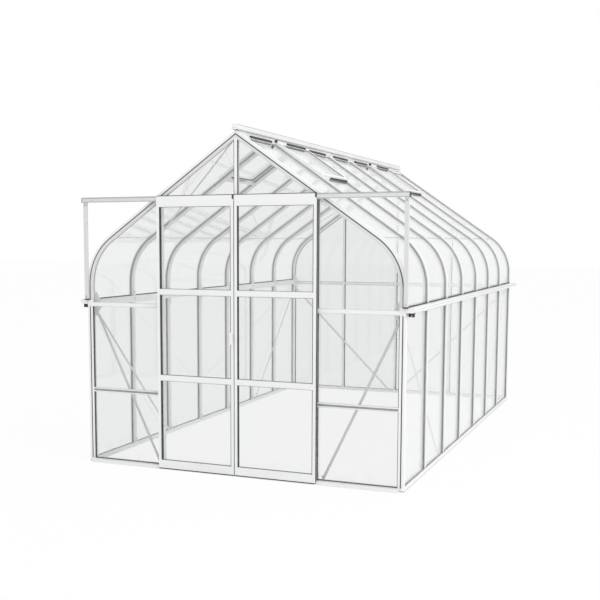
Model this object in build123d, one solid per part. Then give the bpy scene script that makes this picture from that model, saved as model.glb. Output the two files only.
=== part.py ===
from build123d import *
from math import cos, radians, sin, tan
import os

# Glass greenhouse with curved eaves, an aluminium glazing-bar frame and a
# pair of sliding doors in the front gable. Millimetres. While a piece is
# drawn, the front gable's glass lies in the plane Y = 0, the greenhouse runs
# back along +Y, X = 0 is the ridge line and Z = 0 is the ground. Each piece
# is saved half the length further forward, so that the origin is in the
# middle of the plan.

# Plan and outline
pane_pitch = 622.0
bays_long = 7
panes_wide = 4
corner_pane_extra = 12.0
wall_height = 1396.0
curve_radius = 445.0
roof_pitch = 35.0

# Glass and its seats
glass_thickness = 4.0
face_clearance = 0.3
pane_edge_inset = 6.0
gable_pane_inset = 14.0

# Glazing bar section
bar_width = 24.0
bar_cap_top = 16.0
bar_depth = 28.0
bar_neck_width = 8.0
bar_body_width = 18.0
corner_cap_width = 20.0
corner_body_width = 24.0
corner_block_depth = 12.0

# Base sills
sill_height = 28.0
sill_inside = 32.0

# Eave beam, gutter and gutter outlets
wall_above_beam = 118.0
eave_beam_height = 52.0
eave_beam_wall = 3.0
gutter_width = 60.0
gutter_depth = 30.0
gutter_wall = 3.0
gutter_corner = 12.0
gutter_front_overrun = 20.0
gutter_rear_overrun = 77.0
outlet_radius = 22.0
outlet_bore_radius = 18.0
outlet_length = 30.0
outlet_from_end = 34.0

# Ridge
ridge_half_width = 20.0
ridge_drop = 55.0
ridge_wing_reach = 52.0
ridge_wing_thickness = 3.7
ridge_post_width = 16.0
ridge_cap_rise = 61.0
ridge_cap_height = 40.0
ridge_cap_width = 46.0
ridge_cap_wall = 3.0
ridge_cap_overrun = 30.0

# Roof vents
vent_bays = (1, 5)
vent_bottom_from_ridge = 420.0
vent_overlap = 10.0
vent_rail_width = 28.0
vent_thickness = 14.0
vent_groove_depth = 8.0
vent_glass_bite = 6.0
vent_sill_width = 26.0
vent_sill_depth = 22.0

# Gable rails, header, gussets and braces
rail_height = 26.0
rail_depth = 24.0
eave_rail_below_beam = 33.0
transom_z = 575.0
header_height = 32.0
gusset_thickness = 2.5
gusset_tip = 80.0
gusset_tip_height = 44.0
gusset_height = 185.0
gusset_neck = 38.0
gusset_lap = 12.0
brace_width = 20.0
brace_thickness = 3.0
brace_drop_from_eave = 60.0
brace_foot_clear = 30.0
side_brace_bays = 2
roof_brace_from_ridge = 78.0
roof_brace_foot = 98.0
roof_brace_end_y = 14.0

# Sliding doors and their track
door_half_gap = 3.0
door_overlap = 12.0
door_thickness = 28.0
door_from_jamb = 9.0
door_bottom = 12.0
door_groove_play = 2.0
stile_width = 22.0
bottom_rail_height = 60.0
middle_rail_height = 42.0
top_rail_height = 36.0
fascia_thickness = 2.0
fascia_above_track = 2.0
lower_rail_z = 705.0
upper_rail_z = 1355.0
track_below_roof = 44.0
track_height = 34.0
track_depth = 30.0
track_wall = 2.0
track_slot = 12.0
track_overrun = 34.0
track_clearance = 6.0
support_from_end = 4.0
support_width = 30.0
support_depth = 20.0
guide_plate = 4.0
guide_depth = 38.0
guide_fin_height = 22.0
guide_fin_thickness = 3.0
guide_groove_width = 14.0
guide_groove_height = 22.0
wheel_radius = 8.0
wheel_width = 4.0
wheel_offset = 10.0
wheel_from_edge = 90.0
hanger_width = 30.0
hanger_thickness = 2.0
axle_radius = 3.0
handle_length = 103.0
handle_centre_z = 1024.0
handle_width = 16.0
handle_reach = 24.0
handle_bar = 9.0

# Worked out from the sizes above
half_width = panes_wide * pane_pitch / 2 + corner_pane_extra
length = bays_long * pane_pitch
slope = tan(radians(roof_pitch))
slope_cos = cos(radians(roof_pitch))
slope_sin = sin(radians(roof_pitch))
arc_angle = 90 - roof_pitch
arc_centre_x = half_width - curve_radius
arc_end_x = arc_centre_x + curve_radius * slope_sin
arc_end_z = wall_height + curve_radius * slope_cos
glass_apex = arc_end_z + arc_end_x * slope
glass_face = glass_thickness / 2
seat = glass_face + face_clearance
eave_beam_top = wall_height - wall_above_beam
eave_beam_bottom = eave_beam_top - eave_beam_height
eave_rail_z = eave_beam_top - eave_rail_below_beam
ridge_cap_top = glass_apex + ridge_cap_rise
sill_inner_x = half_width - sill_inside
post_inner_x = half_width - bar_depth
jamb_x = pane_pitch
track_bottom = glass_apex - jamb_x * slope - track_below_roof
header_top = track_bottom + track_height
door_back = bar_cap_top + door_from_jamb
door_front = -door_back - door_thickness
door_middle = -door_back - door_thickness / 2
track_front = -bar_cap_top - track_depth
track_middle = -bar_cap_top - track_depth / 2
door_top = track_bottom - track_clearance
door_outer = jamb_x + door_overlap

left_of_ridge = Plane.YZ
behind_middle = Plane(origin=(0, length / 2, 0), z_dir=(0, 1, 0))


def outline(points):
    """A flat face from its corner points."""
    return make_face(Polyline(*points, close=True))


def box(x0, x1, y0, y1, z0, z1):
    """A block between two corners."""
    centre = Pos((x0 + x1) / 2, (y0 + y1) / 2, (z0 + z1) / 2)
    return centre * Box(x1 - x0, y1 - y0, z1 - z0)


def mirrored(solids, plane):
    """The same solids on the other side of a plane."""
    return [mirror(solid, about=plane) for solid in solids]


def save(name, solids):
    """Write one node as a STEP file of separate solids."""
    pieces = []
    for solid in solids:
        pieces.extend((Pos(0, -length / 2, 0) * solid).solids())
    shape = pieces[0] if len(pieces) == 1 else Compound(children=pieces)
    shape.label = name
    export_step(shape, f"parts/{name}.step")
    print(name, len(pieces))


# Sections and the line that bars follow from the wall over the eave

def glazing_bar_section():
    """Bar with an outer cap, a neck between two panes and a body behind them."""
    cap = bar_width / 2
    neck = bar_neck_width / 2
    body = bar_body_width / 2
    right = [
        (body, -bar_depth), (body, -seat), (neck, -seat),
        (neck, seat), (cap, seat), (cap, bar_cap_top),
    ]
    left = [(-s, t) for s, t in reversed(right)]
    return outline(right + left)


def corner_bar_section():
    """Bar at a gable's edge, which holds both the wall's and the gable's glass."""
    neck = bar_neck_width / 2
    return outline([
        (bar_cap_top, -bar_depth), (bar_cap_top, bar_cap_top),
        (-corner_cap_width, bar_cap_top), (-corner_cap_width, seat),
        (-neck, seat), (-neck, -seat),
        (-corner_body_width, -seat), (-corner_body_width, -bar_depth),
        (-seat, -bar_depth), (-seat, -corner_block_depth),
        (seat, -corner_block_depth), (seat, -bar_depth),
    ])


def wall_plane(y, z):
    """Section plane of an upright bar, with local Y pointing out of the wall."""
    return Plane(origin=(half_width, y, z), x_dir=(0, -1, 0), z_dir=(0, 0, 1))


def roof_plane(y, along):
    """Section plane of a roof bar, at a distance up the slope."""
    x = arc_end_x - along * slope_cos
    z = arc_end_z + along * slope_sin
    direction = (-slope_cos, 0, slope_sin)
    return Plane(origin=(x, y, z), x_dir=(0, -1, 0), z_dir=direction)


def eave_axis(y):
    """Axis that the curved eave turns about."""
    return Axis((arc_centre_x, y, wall_height), (0, -1, 0))


def upright(section, y, z0, z1):
    """A section run up the side wall."""
    return extrude(wall_plane(y, z0) * section, z1 - z0)


def eave_curve(section, y, lift=0):
    """A section from the eave beam up, round the curved eave."""
    straight = upright(section, y, eave_beam_top + lift, wall_height)
    start = wall_plane(y, wall_height) * section
    bend = revolve(start, axis=eave_axis(y), revolution_arc=arc_angle)
    return straight + bend


def roof_run(section, y, along0, along1):
    """A section run up the roof slope."""
    return extrude(roof_plane(y, along0) * section, along1 - along0)


def roof_length_to(x):
    """Distance up the slope from the end of the curve to a given X."""
    return (arc_end_x - x) / slope_cos


def gable_face(offset):
    """Gable outline, set out from the roof's glass by an offset."""
    wall = half_width + offset
    radius = curve_radius + offset
    middle = radians(arc_angle / 2)
    end_x = arc_centre_x + radius * slope_sin
    end_z = wall_height + radius * slope_cos
    mid = (arc_centre_x + radius * cos(middle), wall_height + radius * sin(middle))
    apex = (0, glass_apex + offset / slope_cos)
    right_foot = Line((0, 0), (wall, 0))
    right_wall = Line((wall, 0), (wall, wall_height))
    right_arc = ThreePointArc((wall, wall_height), mid, (end_x, end_z))
    right_roof = Line((end_x, end_z), apex)
    middle_line = Line(apex, (0, 0))
    half = make_face([right_foot, right_wall, right_arc, right_roof, middle_line])
    return half + mirror(half, about=Plane.YZ)


def gable_slab(offset, y0, y1):
    """The gable outline as a slab between two depths."""
    plane = Plane(origin=(0, y0, 0), x_dir=(1, 0, 0), z_dir=(0, -1, 0))
    return extrude(plane * gable_face(offset), -(y1 - y0))


# Base

def base_sills():
    """Sills round the foot, as four rails that butt at the corners."""
    outer = half_width + bar_cap_top
    front = -bar_cap_top
    back = length + bar_cap_top
    right = box(sill_inner_x, outer, front, back, 0, sill_height)
    front_sill = box(-sill_inner_x, sill_inner_x, front, sill_inside, 0, sill_height)
    rear_inner = length - sill_inside
    rear_sill = box(-sill_inner_x, sill_inner_x, rear_inner, back, 0, sill_height)
    save("base_sill_right", [right])
    save("base_sill_left", mirrored([right], left_of_ridge))
    save("base_sill_front", [front_sill])
    save("base_sill_rear", [rear_sill])


# Bars of the walls, the curved eaves and the roof

def wall_and_roof_bars():
    """Glazing bars at each bay, and the corner bars of both gables."""
    bar = glazing_bar_section()
    corner = corner_bar_section()
    stations = [bay * pane_pitch for bay in range(1, bays_long)]
    side = [upright(bar, y, sill_height, eave_beam_bottom) for y in stations]
    curves = [eave_curve(bar, y) for y in stations]
    roof_end = roof_length_to(0)
    clear = ridge_clearance()
    roof = [roof_run(bar, y, 0, roof_end) - clear for y in stations]
    save("side_bars_right", side)
    save("side_bars_left", mirrored(side, left_of_ridge))
    save("curved_bars_right", curves)
    save("curved_bars_left", mirrored(curves, left_of_ridge))
    save("roof_bars_right", roof)
    save("roof_bars_left", mirrored(roof, left_of_ridge))

    post = [upright(corner, 0, sill_height, eave_beam_bottom)]
    bend = [eave_curve(corner, 0)]
    beyond = box(-half_width, face_clearance / 2, -half_width, length, 0, 2 * glass_apex)
    rafter = [roof_run(corner, 0, 0, roof_end + bar_depth) - beyond]
    for name, solids in (("corner_posts", post), ("gable_curves", bend), ("gable_rafters", rafter)):
        pair = solids + mirrored(solids, left_of_ridge)
        save(name, pair + mirrored(pair, behind_middle))


# Ridge

def slope_z(x, offset):
    """Height of the roof's glass line at X, set out by an offset."""
    return glass_apex - abs(x) * slope + offset / slope_cos


def ridge_section():
    """Ridge bar: a body, two wings over the top of the panes and a post."""
    wing_top = seat + ridge_wing_thickness
    post = ridge_post_width / 2
    body = ridge_half_width
    reach = ridge_wing_reach
    top = ridge_cap_top - ridge_cap_wall
    right = [
        (body, glass_apex - ridge_drop), (body, slope_z(body, seat)),
        (reach, slope_z(reach, seat)), (reach, slope_z(reach, wing_top)),
        (post, slope_z(post, wing_top)), (post, top),
    ]
    return right + [(-x, z) for x, z in reversed(right)]


def along_gable(points, y0, y1):
    """Extrude an X-Z outline between two depths."""
    plane = Plane(origin=(0, y0, 0), x_dir=(1, 0, 0), z_dir=(0, -1, 0))
    return extrude(plane * outline(points), -(y1 - y0))


def ridge_clearance():
    """Space at the ridge that the roof bars stop short of."""
    body = ridge_half_width
    reach = ridge_wing_reach + face_clearance
    above = glass_apex + ridge_drop
    top = [(reach, slope_z(reach, glass_face)), (reach, above), (-reach, above)]
    left = [(-reach, slope_z(reach, glass_face)), (-body, slope_z(body, glass_face))]
    low = [(-body, 0), (body, 0), (body, slope_z(body, glass_face))]
    return along_gable(top + left + low, 0, length)


def ridge():
    """Ridge bar between the gable rafters, and the cap over it."""
    inset = bar_depth + face_clearance
    save("ridge_bar", [along_gable(ridge_section(), inset, length - inset)])
    outer = ridge_cap_width / 2
    inner = outer - ridge_cap_wall
    bottom = ridge_cap_top - ridge_cap_height
    under = ridge_cap_top - ridge_cap_wall
    cap = [
        (outer, bottom), (outer, ridge_cap_top), (-outer, ridge_cap_top), (-outer, bottom),
        (-inner, bottom), (-inner, under), (inner, under), (inner, bottom),
    ]
    save("ridge_cap", [along_gable(cap, -ridge_cap_overrun, length + ridge_cap_overrun)])


# Eave beams, gutters and outlets

def gutters():
    """Hollow eave beams between the gables, and gutters that run past both ends."""
    back = half_width + bar_cap_top
    outer = box(post_inner_x, back, -bar_cap_top, length + bar_cap_top, eave_beam_bottom, eave_beam_top)
    wall = eave_beam_wall
    bore = box(post_inner_x + wall, back - wall, -bar_cap_top, length + bar_cap_top,
               eave_beam_bottom + wall, eave_beam_top - wall)
    beam = outer - bore
    save("eave_beams", [beam] + mirrored([beam], left_of_ridge))

    lip = back + gutter_width
    floor = eave_beam_top - gutter_depth
    y0 = -gutter_front_overrun
    y1 = length + gutter_rear_overrun
    thick = gutter_wall
    outside = rounded_channel(box(back, lip, y0, y1, floor, eave_beam_top), gutter_corner)
    trough = box(back + thick, lip - thick, y0 + thick, y1 - thick, floor + thick, eave_beam_top + thick)
    trough = rounded_channel(trough, gutter_corner - thick)
    outlet_x = back + gutter_width / 2
    outlet_y = y0 + outlet_from_end
    drain = Pos(outlet_x, outlet_y, floor) * Cylinder(outlet_bore_radius, 4 * thick)
    gutter = outside - trough - drain
    save("gutter_right", [gutter])
    save("gutter_left", mirrored([gutter], left_of_ridge))
    middle = Pos(outlet_x, outlet_y, floor - outlet_length / 2)
    outlet = middle * (Cylinder(outlet_radius, outlet_length) - Cylinder(outlet_bore_radius, outlet_length))
    save("gutter_outlets", [outlet] + mirrored([outlet], left_of_ridge))


def rounded_channel(block, radius):
    """A block along Y with its lower outer edge rounded."""
    lowest = block.edges().filter_by(Axis.Y).group_by(Axis.Z)[0]
    return fillet(lowest.sort_by(Axis.X)[-1], radius)


# Glass of the walls, eaves and roof

def pane_section(width):
    """Section of a pane, as wide as the bay less the bars' necks."""
    return Rectangle(width, glass_thickness)


def wall_and_roof_glass():
    """One pane a bay in the wall, the curved eave and the roof."""
    width = pane_pitch - 2 * pane_edge_inset
    section = pane_section(width)
    low = sill_height + face_clearance
    high = eave_beam_bottom - face_clearance
    pane_top = roof_length_to(ridge_half_width + bar_neck_width / 2)
    vent_foot = roof_length_to(vent_bottom_from_ridge)
    side = []
    curved = []
    roof = []
    for bay in range(bays_long):
        y = (bay + 0.5) * pane_pitch
        top = vent_foot if bay in vent_bays else pane_top
        side.append(upright(section, y, low, high))
        curved.append(eave_curve(section, y, face_clearance))
        roof.append(roof_run(section, y, face_clearance, top))
    save("side_glass_right", side)
    save("side_glass_left", mirrored(side, left_of_ridge))
    save("eave_glass_right", curved)
    save("eave_glass_left", mirrored(curved, left_of_ridge))
    save("roof_glass_right", roof)
    save("roof_glass_left", mirrored(roof, left_of_ridge))


# Roof vents

def roof_vents():
    """Vent frames that lie on the bars' caps, their glass and their sills."""
    foot = roof_length_to(vent_bottom_from_ridge)
    head = roof_length_to(ridge_wing_reach + bar_neck_width / 2)
    lift = bar_cap_top + face_clearance
    run = head - foot
    width = pane_pitch + 2 * vent_overlap
    groove = 2 * vent_groove_depth
    bite = 2 * vent_glass_bite
    frames = []
    panes = []
    sills = []
    for bay in vent_bays:
        y = (bay + 0.5) * pane_pitch
        corner = roof_plane(y, foot)
        blank = Location(corner) * Pos(0, lift + vent_thickness / 2, run / 2)
        light_width = width - 2 * vent_rail_width
        light_run = run - 2 * vent_rail_width
        frame = blank * (Box(width, vent_thickness, run)
                         - Box(light_width, vent_thickness, light_run)
                         - Box(light_width + groove, 2 * seat, light_run + groove))
        frames.append(frame)
        panes.append(blank * Box(light_width + bite, glass_thickness, light_run + bite))
        between = pane_pitch - bar_width
        middle = bar_cap_top - vent_sill_depth / 2
        sill_at = Location(corner) * Pos(0, middle, vent_sill_width / 2 + face_clearance)
        sills.append(sill_at * Box(between, vent_sill_depth, vent_sill_width))
    save("roof_vents_right", frames)
    save("roof_vents_left", mirrored(frames, left_of_ridge))
    save("vent_glass_right", panes)
    save("vent_glass_left", mirrored(panes, left_of_ridge))
    save("vent_sills", sills + mirrored(sills, left_of_ridge))


# Gables

def gable_mullion(x, z0, z1):
    """A glazing bar that stands in the front gable and meets the rafter."""
    plane = Plane(origin=(x, 0, z0), x_dir=(1, 0, 0), z_dir=(0, 0, 1))
    section = mirror(glazing_bar_section(), about=Plane.XZ)
    bar = extrude(plane * section, z1 - z0)
    return bar & gable_slab(-bar_depth, -bar_cap_top, bar_depth)


def gable_pane(x0, x1, z0, z1):
    """A pane in the front gable's plane, cut to the rafter's groove."""
    pane = box(x0, x1, -glass_face, glass_face, z0, z1)
    pane = pane & gable_slab(-gable_pane_inset, -glass_face, glass_face)
    gap = face_clearance
    beam = box(post_inner_x - gap, half_width, -bar_depth, bar_depth,
               eave_beam_bottom - gap, eave_beam_top + gap)
    sill = box(sill_inner_x - gap, half_width, -bar_depth, bar_depth, 0, sill_height + gap)
    return pane - beam - sill


def gable_rail(x0, x1, z):
    """A cross rail between two uprights of the front gable."""
    half = rail_height / 2
    return box(x0, x1, -bar_cap_top, rail_depth - bar_cap_top, z - half, z + half)


def front_gable():
    """Jambs, header and mullion round the doorway, with the side panels."""
    edge = bar_width / 2
    inset = pane_edge_inset
    half = rail_height / 2
    gap = face_clearance
    high = glass_apex
    jamb = [gable_mullion(jamb_x, sill_height, high)]
    save("door_jamb_right", jamb)
    save("door_jamb_left", mirrored(jamb, left_of_ridge))
    reach = jamb_x - edge
    header = box(-reach, reach, -bar_cap_top, rail_depth, header_top - header_height, header_top)
    save("door_header", [header & gable_slab(-bar_depth, -bar_cap_top, bar_depth)])
    save("gable_mullion", [gable_mullion(0, header_top, high)])
    inner = jamb_x + edge
    rails = [gable_rail(inner, post_inner_x, z) for z in (transom_z, eave_rail_z)]
    save("front_rails_right", rails)
    save("front_rails_left", mirrored(rails, left_of_ridge))
    x0 = jamb_x + inset
    panes = [
        gable_pane(x0, half_width, sill_height + gap, transom_z - half - gap),
        gable_pane(x0, half_width, transom_z + half + gap, eave_rail_z - half - gap),
        gable_pane(x0, half_width, eave_rail_z + half + gap, high),
    ]
    save("front_glass_right", panes)
    save("front_glass_left", mirrored(panes, left_of_ridge))
    top = [gable_pane(inset, jamb_x, header_top + gap, high)]
    save("front_glass_top", top + mirrored(top, left_of_ridge))


def rear_gable():
    """Three mullions, a cross rail at the eave and two rows of glass."""
    edge = bar_width / 2
    inset = pane_edge_inset
    half = rail_height / 2
    gap = face_clearance
    high = glass_apex
    centre = [gable_mullion(0, sill_height, high)]
    outer = [gable_mullion(jamb_x, sill_height, high)]
    mullions = centre + outer + mirrored(outer, left_of_ridge)
    save("rear_mullions", mirrored(mullions, behind_middle))
    rails = [
        gable_rail(edge, jamb_x - edge, eave_rail_z),
        gable_rail(jamb_x + edge, post_inner_x, eave_rail_z),
    ]
    rails = rails + mirrored(rails, left_of_ridge)
    save("rear_rails", mirrored(rails, behind_middle))
    panes = []
    for x0, x1 in ((inset, jamb_x - inset), (jamb_x + inset, half_width)):
        panes.append(gable_pane(x0, x1, sill_height + gap, eave_rail_z - half - gap))
        panes.append(gable_pane(x0, x1, eave_rail_z + half + gap, high))
    panes = panes + mirrored(panes, left_of_ridge)
    save("rear_glass", mirrored(panes, behind_middle))


# Gussets and braces

def gusset_plate():
    """Plate in the front right eave corner, on the inner face of the bars."""
    outer = post_inner_x + gusset_lap
    tip = half_width - gusset_tip
    mid = eave_rail_z
    shoulder = half_width - gusset_neck
    half_tip = gusset_tip_height / 2
    half_high = gusset_height / 2
    plate = along_gable([
        (outer, mid - half_high), (outer, mid + half_high), (shoulder, mid + half_high),
        (tip, mid + half_tip), (tip, mid - half_tip), (shoulder, mid - half_high),
    ], bar_depth, bar_depth + gusset_thickness)
    gap = face_clearance
    beam = box(post_inner_x - gap, half_width, 0, 2 * bar_depth,
               eave_beam_bottom - gap, eave_beam_top + gap)
    return plate - beam


def flat_brace(start, end, floor):
    """A flat bar in the X-Z plane between two points, cut off at the sill."""
    direction = Vector(end[0] - start[0], end[1] - start[1], 0).normalized()
    side = Vector(-direction.Y, direction.X, 0) * (brace_width / 2)
    points = [
        (start[0] + side.X, start[1] + side.Y), (end[0] + side.X, end[1] + side.Y),
        (end[0] - side.X, end[1] - side.Y), (start[0] - side.X, start[1] - side.Y),
    ]
    face = bar_depth + gusset_thickness
    bar = along_gable(points, face, face + brace_thickness)
    below = box(-half_width, half_width, 0, 2 * face, -sill_height, floor + face_clearance)
    return bar - below


def bracing():
    """Gusset plates, gable braces and side wall braces."""
    gusset = [gusset_plate()]
    pair = gusset + mirrored(gusset, left_of_ridge)
    save("gusset_plates", pair + mirrored(pair, behind_middle))
    head = (post_inner_x - brace_width / 2, eave_rail_z - brace_drop_from_eave)
    foot = (jamb_x + brace_foot_clear, 0)
    front = [flat_brace(head, foot, sill_height)]
    rear_foot = (brace_foot_clear, 0)
    rear = [flat_brace(head, rear_foot, sill_height)]
    rear = mirrored(rear + mirrored(rear, left_of_ridge), behind_middle)
    save("gable_braces", front + mirrored(front, left_of_ridge) + rear)
    save("side_braces", side_braces())
    save("roof_braces", roof_braces())


def side_braces():
    """Flat bars inside the side walls, from each eave corner to a bar's foot."""
    clear = bar_depth + gusset_thickness + brace_thickness + brace_width / 2
    top_z = eave_rail_z - brace_drop_from_eave
    end_y = side_brace_bays * pane_pitch - brace_foot_clear / 2
    direction = Vector(end_y - clear, -top_z, 0).normalized()
    side = Vector(-direction.Y, direction.X, 0) * (brace_width / 2)
    points = [
        (clear + side.X, top_z + side.Y), (end_y + side.X, side.Y),
        (end_y - side.X, -side.Y), (clear - side.X, top_z - side.Y),
    ]
    face = Plane(origin=(post_inner_x, 0, 0), x_dir=(0, 1, 0), z_dir=(1, 0, 0))
    bar = extrude(face * outline(points), -brace_thickness)
    below = box(0, half_width, 0, length, -sill_height, sill_height + face_clearance)
    bars = [bar - below]
    pair = bars + mirrored(bars, left_of_ridge)
    return pair + mirrored(pair, behind_middle)


def roof_braces():
    """Flat bars under the slopes, from beside the apex to the foot of the next roof bar."""
    depth = bar_depth
    under = Plane(origin=(arc_end_x - depth * slope_sin, 0, arc_end_z - depth * slope_cos),
                  x_dir=(0, 1, 0), z_dir=(slope_sin, 0, slope_cos))
    head = Vector(roof_brace_end_y, roof_length_to(0) - roof_brace_from_ridge, 0)
    foot = Vector(pane_pitch, roof_brace_foot, 0)
    direction = (foot - head).normalized()
    side = Vector(-direction.Y, direction.X, 0) * (brace_width / 2)
    points = [(corner + reach).to_tuple()[:2] for corner, reach in
              ((head, side), (foot, side), (foot, -side), (head, -side))]
    bar = extrude(under * outline(points), -brace_thickness)
    glass = box(0, half_width, -length, seat, 0, 2 * glass_apex)
    bars = [bar - glass]
    pair = bars + mirrored(bars, left_of_ridge)
    return pair + mirrored(pair, behind_middle)


# Door track, its supports and the guide on the ground

def track_section():
    """Channel with a slot in its underside, as Y-Z points."""
    front = track_front
    back = -bar_cap_top
    low = track_bottom
    high = track_bottom + track_height
    wall = track_wall
    slot0 = track_middle - track_slot / 2
    slot1 = track_middle + track_slot / 2
    return [
        (front, low), (slot0, low), (slot0, low + wall), (front + wall, low + wall),
        (front + wall, high - wall), (back - wall, high - wall),
        (back - wall, low + wall), (slot1, low + wall), (slot1, low), (back, low),
        (back, high), (front, high),
    ]


def across(points, x0, x1):
    """Extrude a Y-Z outline between two values of X."""
    plane = Plane(origin=(x0, 0, 0), x_dir=(0, 1, 0), z_dir=(1, 0, 0))
    return extrude(plane * outline(points), x1 - x0)


def door_track():
    """Track over the doors, the posts under its ends and the bottom guide."""
    reach = half_width + track_overrun
    save("door_track", [across(track_section(), -reach, reach)])
    x1 = reach - support_from_end
    x0 = x1 - support_width
    y1 = -bar_cap_top
    post = box(x0, x1, y1 - support_depth, y1, eave_beam_top, track_bottom)
    save("track_support_right", [post])
    save("track_support_left", mirrored([post], left_of_ridge))
    front = -bar_cap_top - guide_depth
    edge = half_width - bar_cap_top
    fin = guide_fin_thickness / 2
    guide = across([
        (front, 0), (-bar_cap_top, 0), (-bar_cap_top, guide_plate),
        (door_middle + fin, guide_plate), (door_middle + fin, guide_plate + guide_fin_height),
        (door_middle - fin, guide_plate + guide_fin_height), (door_middle - fin, guide_plate),
        (front, guide_plate),
    ], -edge, edge)
    save("door_guide", [guide])


# Sliding doors

def door_lights():
    """Heights of the three panes of a door, between its rails."""
    half = middle_rail_height / 2
    return [
        (door_bottom + bottom_rail_height, lower_rail_z - half),
        (lower_rail_z + half, upper_rail_z - half),
        (upper_rail_z + half, door_top - top_rail_height),
    ]


def door_frame():
    """Right leaf: grooved stiles and rails, and a fascia in front of the track."""
    x0 = door_half_gap
    x1 = door_outer
    frame = box(x0, x1, door_front, -door_back, door_bottom, door_top)
    light0 = x0 + stile_width
    light1 = x1 - stile_width
    groove = glass_face + face_clearance
    bite = pane_edge_inset + door_groove_play
    for z0, z1 in door_lights():
        frame = frame - box(light0, light1, door_front, -door_back, z0, z1)
        frame = frame - box(light0 - bite, light1 + bite, door_middle - groove,
                            door_middle + groove, z0 - bite, z1 + bite)
    half = guide_groove_width / 2
    top = door_bottom + guide_groove_height
    frame = frame - box(x0, x1, door_middle - half, door_middle + half, door_bottom, top)
    fascia_top = header_top + fascia_above_track
    return frame + box(x0, x1, door_front, door_front + fascia_thickness, door_top, fascia_top)


def door_panes():
    """Three panes of the right leaf, let into its grooves."""
    light0 = door_half_gap + stile_width - pane_edge_inset
    light1 = door_outer - stile_width + pane_edge_inset
    y0 = door_middle - glass_face
    y1 = door_middle + glass_face
    bite = pane_edge_inset
    return [box(light0, light1, y0, y1, z0 - bite, z1 + bite) for z0, z1 in door_lights()]


def door_hangers():
    """Two hangers of the right leaf, each with a hexagonal axle and two wheels."""
    axle_z = track_bottom + track_wall + face_clearance + wheel_radius
    hangers = []
    for x in (door_half_gap + wheel_from_edge, door_outer - wheel_from_edge):
        half = hanger_width / 2
        thick = hanger_thickness / 2
        stem = box(x - half, x + half, track_middle - thick, track_middle + thick,
                   door_top, axle_z + axle_radius)
        turned = Pos(x, track_middle, axle_z) * Rot(90, 0, 0)
        axle_length = 2 * wheel_offset + wheel_width
        axle = turned * Pos(0, 0, -axle_length / 2) * extrude(RegularPolygon(axle_radius, 6), axle_length)
        wheels = [turned * Pos(0, 0, side * wheel_offset) * Cylinder(wheel_radius, wheel_width)
                  for side in (-1, 1)]
        hangers.append(stem + axle + wheels[0] + wheels[1])
    return hangers


def door_handle():
    """Bowed pull on the meeting stile of the left leaf."""
    front = door_front
    out = front - handle_reach
    z0 = handle_centre_z - handle_length / 2
    z1 = handle_centre_z + handle_length / 2
    bar = handle_bar
    grip = across([
        (front, z0), (front, z0 + 2 * bar), (out + bar, z0 + 3 * bar), (out + bar, z1 - 3 * bar),
        (front, z1 - 2 * bar), (front, z1), (out, z1 - 1.5 * bar), (out, z0 + 1.5 * bar),
    ], -door_half_gap - stile_width / 2 - handle_width / 2,
        -door_half_gap - stile_width / 2 + handle_width / 2)
    return grip


def doors():
    """Both leaves."""
    frame = [door_frame()]
    panes = door_panes()
    hangers = door_hangers()
    for side, solids in (("frame", frame), ("glass", panes), ("rollers", hangers)):
        save(f"right_door_{side}", solids)
        save(f"left_door_{side}", mirrored(solids, left_of_ridge))
    save("left_door_handle", [door_handle()])


os.makedirs("parts", exist_ok=True)
base_sills()
wall_and_roof_bars()
ridge()
gutters()
wall_and_roof_glass()
roof_vents()
front_gable()
rear_gable()
bracing()
door_track()
doors()
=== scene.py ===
import math

import bmesh
import bpy
from mathutils import Matrix, Vector


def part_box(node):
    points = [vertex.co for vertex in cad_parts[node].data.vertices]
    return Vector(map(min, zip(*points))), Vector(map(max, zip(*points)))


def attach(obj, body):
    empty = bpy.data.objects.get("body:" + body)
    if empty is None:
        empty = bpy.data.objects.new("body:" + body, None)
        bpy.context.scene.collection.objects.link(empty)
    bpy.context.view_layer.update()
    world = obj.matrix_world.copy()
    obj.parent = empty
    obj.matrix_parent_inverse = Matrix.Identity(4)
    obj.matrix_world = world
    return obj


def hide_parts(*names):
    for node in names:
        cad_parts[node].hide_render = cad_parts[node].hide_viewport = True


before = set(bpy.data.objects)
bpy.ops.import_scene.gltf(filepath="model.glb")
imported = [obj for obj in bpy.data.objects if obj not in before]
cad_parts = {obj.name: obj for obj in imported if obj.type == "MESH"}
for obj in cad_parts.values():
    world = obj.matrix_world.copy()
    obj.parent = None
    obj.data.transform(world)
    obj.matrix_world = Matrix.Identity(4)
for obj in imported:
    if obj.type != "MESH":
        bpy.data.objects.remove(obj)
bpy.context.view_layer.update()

# Panes and bars, in metres, read off the frame where it shows them
GLASS = 0.004
PANE_FACE = GLASS / 2
HALF_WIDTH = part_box("side_glass_right")[1].x - PANE_FACE
CAP_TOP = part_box("base_sill_right")[1].x - HALF_WIDTH
BAR_HALF = 0.012
BODY_HALF = 0.009
BAR_DEPTH = 0.028
CORNER_CAP = 0.020
CORNER_BODY = 0.024
POST_INNER = HALF_WIDTH - BAR_DEPTH
OUTER = HALF_WIDTH + CAP_TOP

# Walls and gables
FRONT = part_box("base_sill_right")[0].y + CAP_TOP
REAR = -FRONT
FRONT_FACE = FRONT - CAP_TOP
BAYS = 7
PITCH = (REAR - FRONT) / BAYS
BAR_YS = [FRONT + bay * PITCH for bay in range(1, BAYS)]
SILL_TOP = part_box("base_sill_right")[1].z
BEAM_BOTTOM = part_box("eave_beams")[0].z
BEAM_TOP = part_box("eave_beams")[1].z
RAIL_HALF = 0.013
TRANSOM_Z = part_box("front_rails_right")[0].z + RAIL_HALF
EAVE_RAIL_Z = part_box("front_rails_right")[1].z - RAIL_HALF
JAMB_X = PITCH
HEADER_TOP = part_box("door_header")[1].z

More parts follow.
